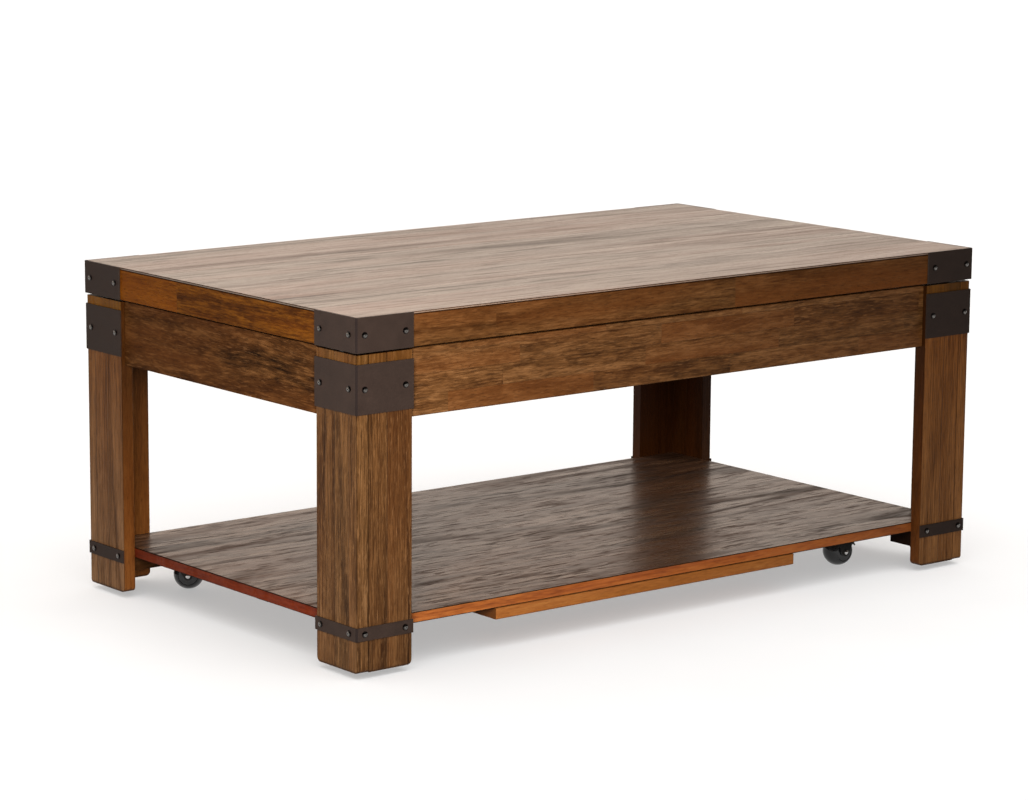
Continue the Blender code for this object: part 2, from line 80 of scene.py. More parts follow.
# Domed screws: the size of a head and of its cross recess
SCREW_HEAD = 0.0047
SCREW_RISE = 0.0026
SCREW_RIM = 0.0003
SCREW_SINK = 0.0002
SCREW_STEPS = 7
SCREW_FACETS = 24
RECESS_REACH = 0.0021
RECESS_WIDTH = 0.0011
RECESS_DEPTH = 0.0024
RECESS_TAPER = 0.45

# How far the corner screws stand from their corner, on the long faces and on the end faces
SCREWS_LONG = (0.0146, 0.0856)
SCREWS_END = (0.0176, 0.0866)

# Glued strips: the joints between a leg's, the height of an apron's, and the planks of the top
LEG_STRIPS = (0.020, 0.053)
APRON_STAVE = 0.0295
APRON_STAVES = 4
TOP_PLANKS = 7
TOP_PLANK_SHIFT = 0.0035
LIPPING_SKIN = 0.0006
STEEL_FOLD = 0.0026

# Heights above the sole of a leg: where the painted light from the floor fades on the outer faces and on the
# inner faces, the part above the band, and the painted shade along the foot
FLOOR_LIGHT_ENDS = (0.04, 0.39)
INNER_FLOOR_LIGHT = 0.33
CROWN = 0.44
FOOT_SHADE = (0.0015, 0.0045)

# Springs
WIRE = 0.0011
COIL = 0.0050
COIL_TURNS = 34
COIL_STEPS = 14
COIL_NECK = 0.0114
HOOK = 0.0053
EYE_STEPS = 24

# Lift hardware: screws are placed by their share of a plate's length
BASE_PLATE = 0.0025
BASE_PLATE_SCREWS = (0.22, 0.44, 0.66)
RAIL_PLATE = 0.0025
RAIL_SCREW = 0.012
RAIL_SCREWS = (0.06, 0.36, 0.66, 0.94)
STOP_RADIUS = 0.0055
STOP_RISE = 0.0027
STOP_INSET = 0.045
STOP_FACETS = 32

# Casters: a ball with a boss and a dish on each side, as (depth, radius), and its axle's domed heads
BALL = 0.024
BALL_HALF = 0.0165
BALL_BOSS = 0.0006
BALL_CHAMFER = 0.0007
BALL_STEPS = 28
BALL_DISH = ((0, 0.0058), (0.0005, 0.0064), (0.0014, 0.0070), (0.0014, 0.0148), (0.0003, 0.0160))
AXLE_END = 0.0228
AXLE_RADIUS = 0.0028
AXLE_HEAD = (
    (0.0, 0.0),
    (0.0001, 0.0012),
    (0.0005, 0.0023),
    (0.0011, 0.0031),
    (0.0019, 0.0038),
    (0.0025, 0.0038),
)
CASTER_PLATE = 0.003
PLATE_SCREW_INSET = 0.0055
PLATE_SCREW_SIZE = 0.62

# Lamps on the table: place, target, width, depth and power
OVERHEAD = ((-0.3, 0.5, 3.0), (0, 0, 0), 3.2, 2.6, 110)
FRONT_LEFT = ((-1.65, -1.6, 0.8), (-0.6, -0.3, 0.3), 0.8, 0.8, 62)
FRONT_LEFT_SPREAD = 95
REAR = ((-0.4, 2.4, 0.9), (0, 0.1, 0.3), 1.2, 0.8, 45)
RIGHT = ((2.7, 0.5, 0.8), (0, 0.1, 0.3), 1.2, 0.8, 45)

# Suns on the floor: strength, angle across, and tilt about each axis
FLOOR_WASH = (1.25, 80, (25, -10, 0))
FLOOR_FILL = (2.0, 80, (0, 0, 0))

# The surround: its strength at the darkest and the brightest, its colour, and the parts of the direction
# between which it brightens towards the back and down to the horizon
SURROUND = (0.06, 1.15)
SURROUND_COLOUR = (1.0, 0.87, 0.76)
SURROUND_BACK = (-0.2, 0.7)
SURROUND_LOW = (0.9, 0.15)

# Stage: a floor and a dome of the same radius, in paper
STAGE_RADIUS = 60.0
FLOOR_FACETS = 96
DOME_FACETS = {"u_segments": 64, "v_segments": 32}
PAPER_TONES = ((0.92, 0.92, 0.92), (0.94, 0.94, 0.94))
PAPER_ROUGH = 0.9

# Camera: its place, its direction, its tilt in degrees, and its lens
VIEWER = (-3.3383, -4.0941, 1.2503)
VIEW = (0.605534, 0.775814, -0.177317)
VIEW_ROLL = 0.277
LENS = 118.92
SENSOR = 36.0
LENS_SHIFT = (0.0487, -0.0093)
VIEW_END = 200.0

# Palettes: dark, low, middle and high tones, and the tint of the warm patches
BROWN = (
    (0.0040, 0.0016, 0.0006),
    (0.0193, 0.0072, 0.0019),
    (0.0415, 0.0167, 0.0048),
    (0.0889, 0.0403, 0.0143),
    (0.0494, 0.0147, 0.0031),
)
STAVES = (
    (0.0038, 0.0018, 0.0008),
    (0.0183, 0.0083, 0.0027),
    (0.0394, 0.0192, 0.0067),
    (0.0845, 0.0463, 0.0200),
    (0.0469, 0.0160, 0.0040),
)
GOLD = (
    (0.0078, 0.0028, 0.0007),
    (0.0256, 0.0088, 0.0024),
    (0.0451, 0.0158, 0.0036),
    (0.0668, 0.0262, 0.0065),
    (0.0511, 0.0131, 0.0024),
)
HONEY = (
    (0.0036, 0.0009, 0.0002),
    (0.0239, 0.0067, 0.0007),
    (0.0509, 0.0163, 0.0013),
    (0.0897, 0.0329, 0.0031),
    (0.0598, 0.0145, 0.0008),
)
VENEER = (
    (0.0291, 0.0185, 0.0118),
    (0.0921, 0.0618, 0.0421),
    (0.1455, 0.1030, 0.0735),
    (0.2231, 0.1700, 0.1225),
    (0.1649, 0.0927, 0.0637),
)
SHELF = (
    (0.0070, 0.0034, 0.0022),
    (0.0225, 0.0110, 0.0057),
    (0.0422, 0.0213, 0.0113),
    (0.0810, 0.0454, 0.0254),
    (0.0493, 0.0206, 0.0099),
)
ORANGE = (
    (0.0245, 0.0058, 0.0018),
    (0.0766, 0.0189, 0.0036),
    (0.1175, 0.0332, 0.0063),
    (0.1585, 0.0579, 0.0135),
    (0.1313, 0.0261, 0.0045),
)
OCHRE = (
    (0.0245, 0.0073, 0.0016),
    (0.0704, 0.0219, 0.0049),
    (0.1040, 0.0337, 0.0073),
    (0.1469, 0.0592, 0.0149),
    (0.1224, 0.0422, 0.0054),
)
BOARD = (
    (0.060, 0.032, 0.016),
    (0.130, 0.075, 0.038),
    (0.180, 0.110, 0.060),
    (0.240, 0.150, 0.090),
    (0.180, 0.100, 0.050),
)
PALETTE_STOPS = (0.0, 0.33, 0.58, 1.0)
# Dark of the glue joints, also used for the painted shade along the foot of each leg
JOINT_AND_SHADE_DARK = (0.012, 0.006, 0.003)
END_LIPPING = (0.409, 0.183, 0.100)
# The hue of the painted shade on eased edges
EDGE_SHADE = (1.0, 0.92, 0.85)
# Leg tints for the painted light from the floor: paler at the foot, more golden higher up
LEG_PALE = (0.12, 0.18, 0.35)
LEG_GILT = (-0.12, -0.26, -0.48)
CROWN_GILT = (3.0, 3.6, 1.2)

# The grain: how far it moves from board to board along, across and through the fibres, the noise between
# which each of its marks shows, how raised each mark is, and how square a face is to count as sawn or level
BOARD_DRIFT = (7.0, 3.0, 2.0)
STAVE_DRIFT = 5.0
WARM_DRIFT = 0.25
SHOWS = {
    "patch": (0.42, 0.62),
    "pore": (0.60, 0.72),
    "fleck": (0.56, 0.72),
    "dash": (0.52, 0.66),
    "warm": (0.52, 0.85),
}
RAISED = {"fibre": 0.25, "streak": 0.5, "line": -0.3, "pore": -0.35, "seam": -1.2}
PORE_ROUGH = 0.12
STREAK_ROUGH = (0.07, -0.05)
SAWN = (0.6, 0.8)
LEVEL = (0.5, 0.8)
TURNED_OUT = (0.3, 0.6)

# How wood looks: the strength of each mark of the grain, and how fine it is along, across and through the
# fibres. block is the length of a finger-jointed stave.
WOOD_LOOK = {
    "seed": 0.0,
    "block": 0.0,
    "seam": 0.0006,
    "seam_dark": 0.85,
    "butt": 0.35,
    "sway": 0.010,
    "sway_scale": (2.2, 7.0, 7.0),
    "rings": 9.0,
    "ring_scale": (0.9, 15.0, 15.0),
    "patch_scale": (1.5, 8.0, 8.0),
    "line_width": 0.25,
    "streak_scale": (7.0, 230.0, 230.0),
    "fibre_scale": (42.0, 430.0, 430.0),
    "ripple_scale": (22.0, 95.0, 95.0),
    "pore_scale": (95.0, 1500.0, 1500.0),
    "warm_scale": (1.6, 17.0, 17.0),
    "fleck_scale": (60.0, 480.0, 480.0),
    "dash_scale": (16.0, 130.0, 130.0),
    "tone": 0.5,
    "ring": 0.16,
    "line": 0.12,
    "streak": 0.85,
    "fibre": 0.8,
    "ripple": 0.40,
    "board": 0.20,
    "warm": 0.55,
    "pore": 0.55,
    "fleck": 0.0,
    "dash": 0.0,
    "dash_rough": 0.0,
    "end_dark": 0.7,
    # Painted shade on faces that are not level; not a mark of the grain.
    "upright_shade": 0.0,
    "rough": 0.36,
    "ior": 1.11,
    "relief": 0.00035,
}
TOP_LOOK = {
    "seed": 11.0, "ring": 0.20, "rings": 7.0, "line": 0.2, "line_width": 0.3, "streak": 0.5,
    "fibre": 0.35, "ripple": 0.2, "board": 0.05, "seam": 0.0012, "seam_dark": 0.25, "sway": 0.03,
    "dash": 0.5, "dash_rough": 0.12, "rough": 0.30, "ior": 1.42, "relief": 0.0003, "upright_shade": 0.5,
    "ring_scale": (0.35, 9.0, 9.0), "streak_scale": (4.5, 75.0, 75.0), "ripple_scale": (5.0, 24.0, 24.0),
    "sway_scale": (3.0, 8.0, 8.0), "fibre_scale": (16.0, 150.0, 150.0), "dash_scale": (7.0, 90.0, 90.0),
}
RIM_LOOK = {
    "seed": 5.0, "ior": 1.07, "streak": 0.45, "ripple": 0.6, "ring": 0.15, "board": 0.08, "warm": 0.8,
    "block": 0.46, "butt": 0.05, "fleck": 0.25, "dash": 0.3, "streak_scale": (5.0, 190.0, 190.0),
}
APRON_LOOK = {
    "seed": 2.0, "streak": 0.6, "ripple": 0.9, "board": 0.13, "warm": 0.5, "seam_dark": 0.15, "butt": 0.3,
    "block": 0.27, "fleck": 0.55, "dash": 0.35, "tone": 0.55,
    "streak_scale": (9.0, 190.0, 190.0), "dash_scale": (24.0, 170.0, 170.0),
}
END_APRON_LOOK = {
    **APRON_LOOK,
    "seed": 9.0, "tone": 0.24, "ior": 1.05, "fleck": 0.35, "block": 0.0, "ripple": 1.1, "sway": 0.03,
    "streak": 0.5,
}
BATTEN_LOOK = {
    "seed": 23.0, "streak": 0.5, "ripple": 0.4, "ring": 0.15, "warm": 0.5, "pore": 0.3, "end_dark": 0.9,
}
COMPARTMENT_LOOK = {"seed": 4.0, "streak": 0.5, "ripple": 0.2, "ring": 0.3}
SHELF_LOOK = {
    "seed": 17.0, "ring": 0.2, "line": 0.35, "line_width": 0.4, "streak": 1.6, "ripple": 0.8, "sway": 0.03,
    "pore": 0.7, "dash": 0.9, "dash_rough": 0.26, "rough": 0.27, "ior": 1.32, "relief": 0.00012,
    "sway_scale": (2.5, 6.0, 6.0), "ring_scale": (1.0, 9.0, 9.0), "streak_scale": (6.0, 90.0, 90.0),
    "ripple_scale": (12.0, 50.0, 50.0), "pore_scale": (26.0, 300.0, 300.0),
    "dash_scale": (20.0, 170.0, 170.0),
}
LIPPING_LOOK = {"seed": 31.0, "streak": 0.6, "ring": 0.2, "ripple": 0.5, "pore": 0.3}
END_LIPPING_LOOK = {"seed": 37.0, "streak": 0.5, "ring": 0.2, "pore": 0.3}
LIPPING_ROUGH = 0.5

# Legs: what all share, then for each the strength of the painted light from the floor towards its foot, the
# gold above its band, its hue, and the painted shade on its hollow side. End boards are lighter than side
# boards.
LEG_LOOK = {
    "ring": 0.20, "rings": 12.0, "streak": 0.9, "ripple": 0.3, "board": 0.12, "warm": 0.25,
    "seam": 0.0008, "line": 0.2, "dash": 0.30, "fibre": 1.1,
    "streak_scale": (7.0, 420.0, 420.0), "dash_scale": (13.0, 380.0, 380.0),
    "fibre_scale": (24.0, 620.0, 620.0), "fleck_scale": (60.0, 520.0, 520.0),
}
LEG_LOOKS = {
    "front_left": {
        "seed": 8.0, "tone": 0.36, "fleck": 0.45,
        "fade": 0.3, "crown": 0.25, "hue": (1.0, 1.0, 1.0), "hollow_shade": 1.0,
    },
    "front_right": {
        "seed": 3.0, "tone": 0.74, "fleck": 0.15,
        "fade": 1.0, "crown": 0.9, "hue": (1.15, 0.93, 0.65), "hollow_shade": 0.8,
    },
    "back_left": {
        "seed": 13.0, "tone": 0.66, "fleck": 0.30,
        "fade": 1.2, "crown": 0.9, "hue": (1.0, 0.95, 0.9), "hollow_shade": 1.0,
    },
    "back_right": {
        "seed": 21.0, "tone": 0.45, "fleck": 0.10,
        "fade": 0.5, "crown": 0.9, "hue": (1.0, 0.9, 0.8), "hollow_shade": 0.42,
    },
}
LEG_INNER_LOOK = {"streak": 0.6, "ring": 0.2, "dash": 0.2}
LEG_INNER_SEED = 40.0
END_BOARD_LIFT = 0.10

# Metals, coatings, rubber and plastic
DARK_STEEL = (0.0108, 0.0068, 0.0052)
# Edge coats are lighter, partly from wear and partly as a painted highlight; the fold is darkened as painted
# shade
DARK_STEEL_EDGE = (0.017, 0.013, 0.010)
DARK_STEEL_FOLD = (0.004, 0.003, 0.003)
MECHANISM_BLACK = (0.016, 0.016, 0.017)
MECHANISM_EDGE = (0.035, 0.035, 0.036)
CASTER_BLACK = (0.011, 0.010, 0.009)
BALL_BLACK = (0.006, 0.006, 0.006)
RUBBER = (0.012, 0.012, 0.012)
ZINC = (0.42, 0.42, 0.43)
NICKEL = (0.80, 0.79, 0.77)
# Screw heads from rim to crown: painted shade at the rim, then the steel, then a crown lighter from wear and
# a painted highlight
SCREW_SHADE_AND_WEAR = ((0.05, (0.006, 0.005, 0.005)), (0.30, (0.06, 0.055, 0.05)), (0.8, (0.24, 0.225, 0.21)))
COAT_IOR = 1.11
COAT_PEEL = 0.00012
SCRATCH = 0.00002


class Tree:
    """The nodes of a material or of the world, with short calls that add to them."""

    def __init__(self, owner):
        self.owner = owner
        owner.use_nodes = True
        self.nodes = owner.node_tree.nodes
        self.links = owner.node_tree.links

    def feed(self, socket, value):
        """Links a socket to another, or sets it to a number or a colour."""
        if isinstance(value, bpy.types.NodeSocket):
            self.links.new(value, socket)
        elif isinstance(value, tuple) and len(value) == 3 and socket.type == "RGBA":
            socket.default_value = (*value, 1.0)
        else:
            socket.default_value = value

    def node(self, kind, **settings):
        made = self.nodes.new(kind)
        for key, value in settings.items():
            setattr(made, key, value)
        return made

    def math(self, operation, *values):
        made = self.node("ShaderNodeMath", operation=operation)
        for socket, value in zip(made.inputs, values):
            self.feed(socket, value)
        return made.outputs[0]

    def times(self, first, second):
        return self.math("MULTIPLY", first, second)

    def size(self, value):
        return self.math("ABSOLUTE", value)

    def about(self, value, weight):
        """A value from 0 to 1, as a swing either way of half the weight."""
        return self.times(self.math("SUBTRACT", value, 0.5), weight)

    def total(self, *terms):
        """The sum of some numbers or sockets."""
        result = terms[0]
        for term in terms[1:]:
            result = self.math("ADD", result, term)
        return result

    def split(self, vector):
        parts = self.node("ShaderNodeSeparateXYZ")
        self.feed(parts.inputs[0], vector)
        return list(parts.outputs)

    def place(self):
        """The point's place in the frame, as three sockets."""
        return self.split(self.node("ShaderNodeTexCoord").outputs["Object"])

    def outward(self):
        """The direction that the surface faces, as three sockets."""
        return self.split(self.node("ShaderNodeNewGeometry").outputs["Normal"])

    def vector(self, *parts):
        made = self.node("ShaderNodeCombineXYZ")
        for socket, value in zip(made.inputs, parts):
            self.feed(socket, value)
        return made.outputs[0]

    def scaled(self, parts, factors):
        """A vector whose parts are stretched each by its own factor."""
        return self.vector(*[self.times(part, factor) for part, factor in zip(parts, factors)])

    def noise(self, vector, detail=2.0, rough=0.5, twist=0.0, scale=1.0):
        made = self.node("ShaderNodeTexNoise")
        self.feed(made.inputs["Vector"], vector)
        made.inputs["Scale"].default_value = scale
        made.inputs["Detail"].default_value = detail
        made.inputs["Roughness"].default_value = rough
        made.inputs["Distortion"].default_value = twist
        return made.outputs["Fac"]

    def random(self, *parts):
        """Three random numbers for each whole-numbered place."""
        made = self.node("ShaderNodeTexWhiteNoise", noise_dimensions="3D")
        self.feed(made.inputs["Vector"], self.vector(*parts))
        colours = self.node("ShaderNodeSeparateColor")
        self.feed(colours.inputs[0], made.outputs["Color"])
        return list(colours.outputs)

    def ramp(self, value, stops):
        made = self.node("ShaderNodeValToRGB")
        self.feed(made.inputs[0], value)
        elements = made.color_ramp.elements
        while len(elements) < len(stops):
            elements.new(0.5)
        for element, (place, colour) in zip(elements, stops):
            element.position = place
            element.color = (*colour, 1.0)
        return made.outputs[0]

    def mix(self, factor, first, second, mode="MIX"):
        made = self.node("ShaderNodeMix", data_type="RGBA", blend_type=mode)
        self.feed(made.inputs["Factor"], factor)
        self.feed(made.inputs[6], first)
        self.feed(made.inputs[7], second)
        return made.outputs[2]

    def tinted(self, colour, tint):
        return self.mix(1.0, colour, tint, mode="MULTIPLY")

    def remap(self, value, low, high, new_low=0.0, new_high=1.0, kind="LINEAR"):
        made = self.node("ShaderNodeMapRange", interpolation_type=kind)
        for name, number in zip(("Value", "From Min", "From Max"), (value, low, high)):
            self.feed(made.inputs[name], number)
        made.inputs["To Min"].default_value = new_low
        made.inputs["To Max"].default_value = new_high
        return made.outputs[0]

    def bump(self, height, distance):
        made = self.node("ShaderNodeBump")
        self.feed(made.inputs["Height"], height)
        made.inputs["Distance"].default_value = distance
        made.inputs["Strength"].default_value = 1.0
        return made.outputs[0]

    def finish(self, colour, rough, normal=None, metal=0.0, **constants):
        """Feeds the shader: constants go straight onto its own sockets."""
        sockets = self.nodes["Principled BSDF"].inputs
        self.feed(sockets["Base Color"], colour)
        self.feed(sockets["Roughness"], rough)
        sockets["Metallic"].default_value = metal
        if normal is not None:
            self.feed(sockets["Normal"], normal)
        for name, value in constants.items():
            sockets[name.replace("_", " ").title().replace("Ior", "IOR")].default_value = value
        return self.owner


def material_tree(name):
    return Tree(bpy.data.materials.new(name))


def shaded(colour, factor):
    return tuple(part * factor for part in colour)


def glued_strips(tree, along, across, side, look, strips, mirrored):
    """Which glued strip and which finger-jointed stave a point is in, and how near to a joint it is. strips
    are the joints across, measured inwards from the face at mirrored where that is given."""
    measured = across
    strip = 0.0
    if mirrored is not None:
        measured = tree.math("SUBTRACT", mirrored, tree.size(across))
        strip = tree.math("SIGN", across)
    seam = 0.0
    for joint in strips:
        strip = tree.total(strip, tree.math("GREATER_THAN", measured, joint))
        away = tree.size(tree.math("SUBTRACT", measured, joint))
        seam = tree.math("MAXIMUM", seam, tree.remap(away, 0.0, look["seam"], 1.0, 0.0))
    stave = 0.0
    if look["block"]:
        shift = tree.random(strip, side, look["seed"])[0]
        run = tree.total(tree.math("DIVIDE", along, look["block"]), tree.times(shift, STAVE_DRIFT))
        stave = tree.math("FLOOR", run)
        ends = tree.times(tree.math("PINGPONG", run, 0.5), look["block"])
        seam = tree.math("MAXIMUM", seam, tree.remap(ends, 0.0, look["seam"], look["butt"], 0.0))
    return strip, stave, seam


def grain_marks(tree, spot, warmth, look):
    """The marks of the grain by name, each from 0 to 1. warmth makes warm patches likelier."""

    def pattern(kind, **settings):
        return tree.noise(tree.scaled(spot, look[kind + "_scale"]), **settings)

    def shown(kind, **settings):
        return tree.remap(pattern(kind, **settings), *SHOWS[kind])

    ring = tree.math("PINGPONG", tree.times(pattern("ring", detail=1.0), look["rings"]), 1.0)
    warm = tree.total(pattern("warm"), tree.times(warmth, WARM_DRIFT))
    return {
        "ring": ring,
        "line": tree.times(tree.remap(ring, 0.0, look["line_width"], 1.0, 0.0), shown("patch")),
        "streak": pattern("streak", detail=4.0, rough=0.62),
        "fibre": pattern("fibre", detail=3.0, rough=0.6),
        "ripple": pattern("ripple", detail=3.0, twist=0.6),
        "pore": shown("pore", detail=1.0),
        "fleck": shown("fleck"),
        "dash": shown("dash", detail=3.0, rough=0.6, twist=0.4),
        "warm": tree.remap(warm, *SHOWS["warm"]),
    }


def timber(tree, grain, stack, palette, look, strips=(), mirrored=None):
    """The colour, roughness and height of lacquered wood. grain and stack are the axes that the fibres run
    along and that the glued strips lie across."""
    parts = tree.place()
    order = (AXES[grain], AXES[stack], 3 - AXES[grain] - AXES[stack])
    along, across, deep = [parts[axis] for axis in order]
    side = tree.math("SIGN", deep)
    strip, stave, seam = glued_strips(tree, along, across, side, look, strips, mirrored)
    pick = tree.random(strip, stave, tree.total(side, look["seed"] + 3.0))
    drift = [tree.times(draw, far) for draw, far in zip(pick, BOARD_DRIFT)]
    spot = [tree.total(*pair) for pair in zip((along, across, deep), drift)]
    sway = tree.noise(tree.scaled(spot, look["sway_scale"]))
    spot[1] = tree.total(spot[1], tree.about(sway, look["sway"]))

    marks = {**grain_marks(tree, spot, pick[2], look), "seam": seam}
    colour = grain_colour(tree, marks, pick[1], palette, look)
    outward = [tree.size(part) for part in tree.outward()]
    sawn = tree.remap(outward[AXES[grain]], *SAWN)
    colour = tree.mix(tree.times(sawn, look["end_dark"]), colour, palette[0])
    # Painted shade: faces that are not level turn towards the darkest tone, used on the top's upright edge
    # faces.
    upright = tree.remap(outward[AXES["Z"]], *LEVEL, look["upright_shade"], 0.0)
    colour = tree.mix(upright, colour, palette[0])
    rough = tree.total(
        tree.remap(marks["streak"], 0.25, 0.75, *[look["rough"] + change for change in STREAK_ROUGH]),
        tree.times(marks["pore"], PORE_ROUGH),
        tree.times(marks["dash"], look["dash_rough"]),
        tree.times(marks["line"], look["dash_rough"]),
    )
    raised = {**RAISED, "dash": -look["dash"]}
    height = tree.total(*[tree.times(marks[kind], weight) for kind, weight in raised.items()])
    return colour, rough, height


def grain_colour(tree, marks, board, palette, look):
    """Tones from the palette, with the marks of the grain laid over them one by one."""
    *tones, tint = palette
    dark, high = tones[0], tones[-1]
    tone = tree.total(
        look["tone"],
        *[tree.about(marks[kind], look[kind]) for kind in ("ring", "streak", "fibre", "ripple")],
        tree.about(board, look["board"]),
        tree.times(marks["line"], -look["line"]),
    )
    colour = tree.ramp(tone, list(zip(PALETTE_STOPS, tones)))
    strengths = {**look, "seam": look["seam_dark"]}
    over = {"fleck": high, "dash": dark, "warm": tint, "pore": dark, "seam": JOINT_AND_SHADE_DARK}
    for kind, shade in over.items():
        colour = tree.mix(tree.times(marks[kind], strengths[kind]), colour, shade)
    return colour


def wood(name, grain, stack, palette, shade=None, strips=(), **changes):
    """A material of timber; shade darkens it on the eased edges, as painted shade."""
    tree = material_tree(name)
    look = {**WOOD_LOOK, **changes}
    colour, rough, height = timber(tree, grain, stack, palette, look, strips)
    # Painted shade on the eased edges.
    if shade is not None:
        colour = tree.tinted(colour, shaded(EDGE_SHADE, shade))
    return tree.finish(colour, rough, tree.bump(height, look["relief"]), ior=look["ior"])


def powder_coat(name, colour, rough=0.42, wear_and_light=0.0, bend=None):
    """Dark powder-coated steel with a fine orange-peel skin. On edge coats the lightest tone is raised,
    partly from wear and partly as a painted highlight. bend is the corner of the fold, where it is duller and
    darkened with painted shade."""
    tree = material_tree(name)
    parts = tree.place()
    cloud = tree.noise(tree.vector(*parts), detail=4.0, rough=0.6, scale=38.0)
    speck = tree.noise(tree.vector(*parts), scale=900.0)
    tone = tree.total(tree.about(cloud, 0.4), tree.about(speck, 0.6), 0.5)
    # The lightest tone is raised on edge coats: partly wear, partly a painted highlight.
    light = tuple(part + wear_and_light for part in shaded(colour, 1.7))
    base = tree.ramp(tone, ((0.15, shaded(colour, 0.55)), (0.5, colour), (0.9, light)))
    roughness = tree.remap(cloud, 0.3, 0.7, rough - 0.07, rough + 0.09)
    if bend is not None:
        near = [tree.math("GREATER_THAN", tree.size(part), limit) for part, limit in zip(parts, bend)]
        # Painted shade: the fold is darkened.
        fold = tree.times(*near)
        base = tree.mix(tree.times(fold, 0.7), base, DARK_STEEL_FOLD)
        roughness = tree.total(roughness, tree.times(fold, 0.5))
    normal = tree.bump(tree.total(speck, tree.times(cloud, 0.4)), COAT_PEEL)
    return tree.finish(base, roughness, normal, ior=COAT_IOR)


def bright_metal(name, colour, rough):
    """Bare metal with fine scratches and slight tarnish."""
    tree = material_tree(name)
    parts = tree.place()
    cloud = tree.noise(tree.vector(*parts), detail=3.0, scale=160.0)
    line = tree.noise(tree.scaled(parts, (1400.0, 220.0, 220.0)))
    base = tree.mix(tree.remap(cloud, 0.35, 0.75), colour, shaded(colour, 0.55))
    roughness = tree.remap(line, 0.3, 0.7, rough - 0.06, rough + 0.10)
    return tree.finish(base, roughness, tree.bump(line, SCRATCH), metal=1.0)


def screw_metal(name):
    """Blackened steel, dark round the rim of each head with painted shade, and bright on its crown, partly
    from wear and partly as a painted highlight.
    """
    tree = material_tree(name)
    wear_and_light = tree.node("ShaderNodeAttribute", attribute_name="crown").outputs["Fac"]
    cloud = tree.noise(tree.vector(*tree.place()), detail=3.0, scale=400.0)
    # Painted shade at the rim, and a crown lightened by wear and a painted highlight.
    colour = tree.ramp(tree.total(wear_and_light, tree.about(cloud, 0.25)), SCREW_SHADE_AND_WEAR)
    return tree.finish(colour, tree.remap(cloud, 0.3, 0.7, 0.14, 0.26), metal=1.0)


def plastic(name, colour, rough):
    """Moulded plastic or rubber with a faint mottle and scuffs."""
    tree = material_tree(name)
    parts = tree.place()
    cloud = tree.noise(tree.vector(*parts), detail=4.0, rough=0.65, scale=120.0)
    scuff = tree.noise(tree.vector(*parts), detail=5.0, rough=0.7, scale=700.0)
    light = tuple(part + 0.004 for part in shaded(colour, 2.0))
    base = tree.mix(tree.remap(cloud, 0.45, 0.8), colour, light)
    roughness = tree.remap(scuff, 0.35, 0.7, rough - 0.05, rough + 0.12)
    return tree.finish(base, roughness, tree.bump(scuff, SCRATCH))


def dress(name, material, edge, ease, segments=2):
    """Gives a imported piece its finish, and eases its edges, in a finish of their own where one is given."""
    piece = frame["nodes"][name]
    piece.material_slots[0].material = material
    weld = piece.modifiers.new("weld", "WELD")
    weld.merge_threshold = WELD
    bevel = piece.modifiers.new("ease", "BEVEL")
    bevel.width = ease
    bevel.segments = segments
    bevel.limit_method = "ANGLE"
    bevel.angle_limit = math.radians(SHARP)
    if edge is not None:
        piece.data.materials.append(edge)
        bevel.material = 1


def place_object(name, data):
    made = bpy.data.objects.new(name, data)
    bpy.context.scene.collection.objects.link(made)
    return made


def add_piece(name, mesh, material, body, replaced=()):
    """Links a new piece to the body that carries it."""
    piece = place_object(name, mesh)
    mesh.materials.clear()
    mesh.materials.append(material)
    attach(piece, body)
    if replaced:
        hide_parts(*replaced)
    return piece


def joint_named(name):
    return next(joint for joint in frame["joints"] if joint["name"] == name)


def smooth(mesh, angle=35):
    mesh.shade_smooth()
    mesh.set_sharp_from_angle(angle=math.radians(angle))
    return mesh


def mesh_of(bm, name):
    """Turns worked geometry into a mesh."""
    mesh = bpy.data.meshes.new(name)
    bm.to_mesh(mesh)
    bm.free()
    return mesh


def applied(piece):
    """The mesh of an object with its modifiers or its thickness applied."""
    bpy.context.view_layer.update()
    depsgraph = bpy.context.evaluated_depsgraph_get()
    return bpy.data.meshes.new_from_object(piece.evaluated_get(depsgraph))


def spun(name, points, axis, steps):
    """A closed shape made by turning a line of points about an axis through the origin."""
    bm = bmesh.new()
    verts = [bm.verts.new(point) for point in points]
    edges = [bm.edges.new(pair) for pair in zip(verts, verts[1:])]
    settings = {"cent": (0, 0, 0), "axis": axis, "angle": math.tau, "steps": steps, "use_merge": True}
    bmesh.ops.spin(bm, geom=verts + edges, **settings)
    bmesh.ops.remove_doubles(bm, verts=bm.verts, dist=1e-6)
    bmesh.ops.recalc_face_normals(bm, faces=bm.faces)
    return mesh_of(bm, name)


def turned(name, profile, steps=48):
    """A closed shape turned round the Y axis from a line of (along, radius) points."""
    return smooth(spun(name, [(radius, along, 0) for along, radius in profile], (0, 1, 0), steps), 40)


def dress_wood():
    """Every wooden piece, with its fibres along its own length."""
    dress_top()
    dress_box()
    dress_legs()
    dress_shelf()


def dress_top():
    """The top's plank veneer, and its dark eased edge."""
    low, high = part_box("top_panel")
    step = (high.y - low.y) / TOP_PLANKS
    planks = [low.y + TOP_PLANK_SHIFT + step * number for number in range(1, TOP_PLANKS)]
    veneer = wood("top_veneer", "X", "Y", VENEER, strips=planks, **TOP_LOOK)
    edge = wood("top_veneer_edge", "X", "Y", BROWN, shade=0.5, seed=12.0)
    dress("top_panel", veneer, edge, EASE_TOP, 3)


